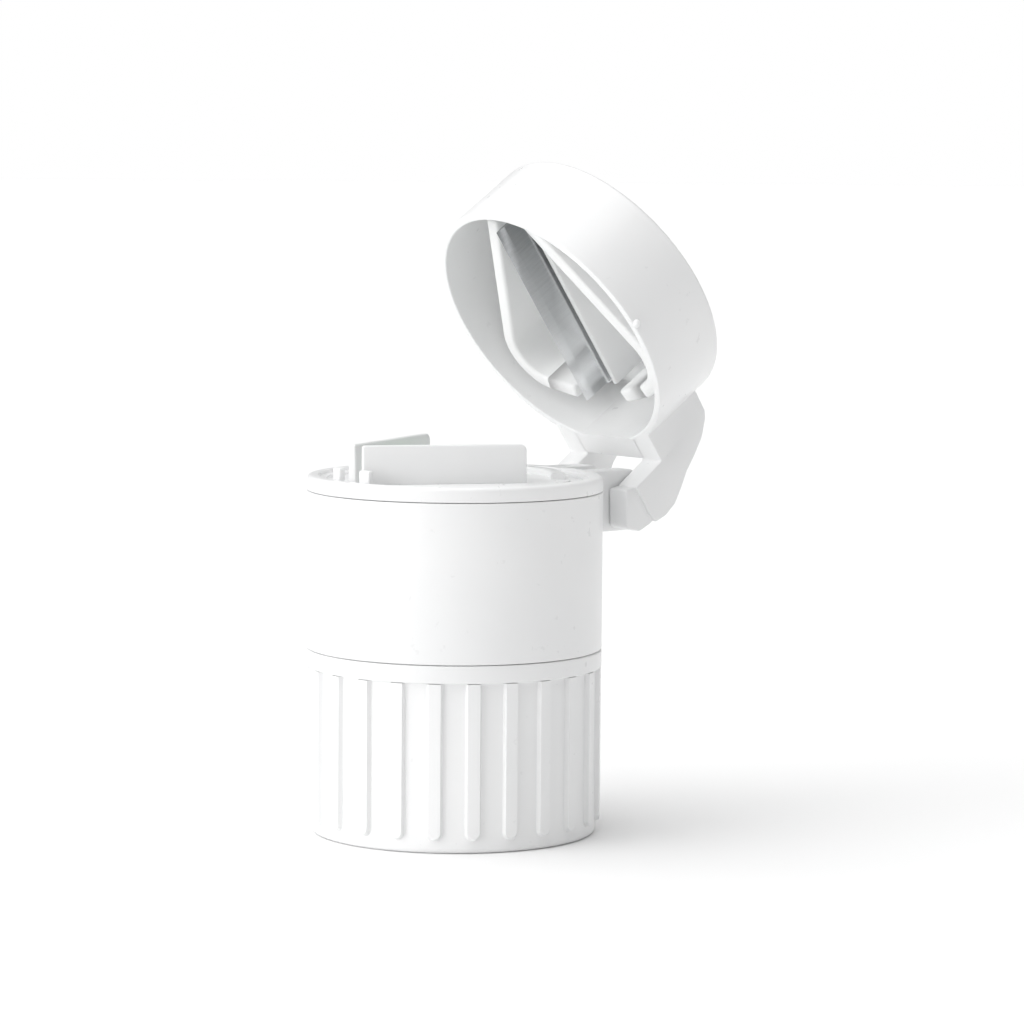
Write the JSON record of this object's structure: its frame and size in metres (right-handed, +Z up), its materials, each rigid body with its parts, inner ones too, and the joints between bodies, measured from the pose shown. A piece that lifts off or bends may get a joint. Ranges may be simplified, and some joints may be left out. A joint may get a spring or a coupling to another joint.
{
  "type": "pill splitter",
  "caption": "Round hand-held pill splitter: hinged blade lid over a V pill holder, storage body, and a ribbed screw-on grinding cup.",
  "frame": {"origin": "centre of the flat underside of the grinding cup", "axes": "+Z up along the body's axis, +Y towards the hinge at the back, +X to the right seen from the front"},
  "size_m": [0.0502, 0.0718, 0.1131],
  "materials": {
    "white_shell": "glossy",
    "white_inner": "satin",
    "soft_mint": "matte",
    "seal": "matte",
    "steel": "brushed"
  },
  "bodies": {
    "cup": {"grinding_cup": "white_shell", "lower_grinding_plate": "white_inner"},
    "seal": {"powder_seal": "seal"},
    "storage": {"storage_body": "white_shell", "upper_grinding_plate": "white_inner"},
    "table": {"cutter_table": "white_shell", "table_seal": "seal", "pill_holder": "white_inner", "soft_pad": "soft_mint", "hinge_pin": "steel"},
    "lid": {"lid_shell": "white_shell", "guard_insert": "white_inner", "blade_clamp": "white_inner", "blade": "steel", "blade_pegs": "steel"}
  },
  "joints": [
    {"name": "screw_rise", "type": "slide", "parent": "cup", "child": "seal", "axis": [0, 0, 1], "range_m": [0, 0.0091]},
    {"name": "storage_turn", "type": "hinge", "parent": "seal", "child": "storage", "pos_m": [0, 0, 0.0314], "axis": [0, 0, 1], "range_deg": [0, 540]},
    {"name": "table_pull", "type": "slide", "parent": "storage", "child": "table", "axis": [0, 0, 1], "range_m": [0, 0.02]},
    {"name": "lid_hinge", "type": "hinge", "parent": "table", "child": "lid", "pos_m": [0, 0.0322, 0.0534], "axis": [-1, 0, 0], "range_deg": [-55.4, 60]}
  ],
  "couplings": [
    {"joint": "screw_rise", "follows": "storage_turn", "m_per_rad": 0.00095493}
  ]
}
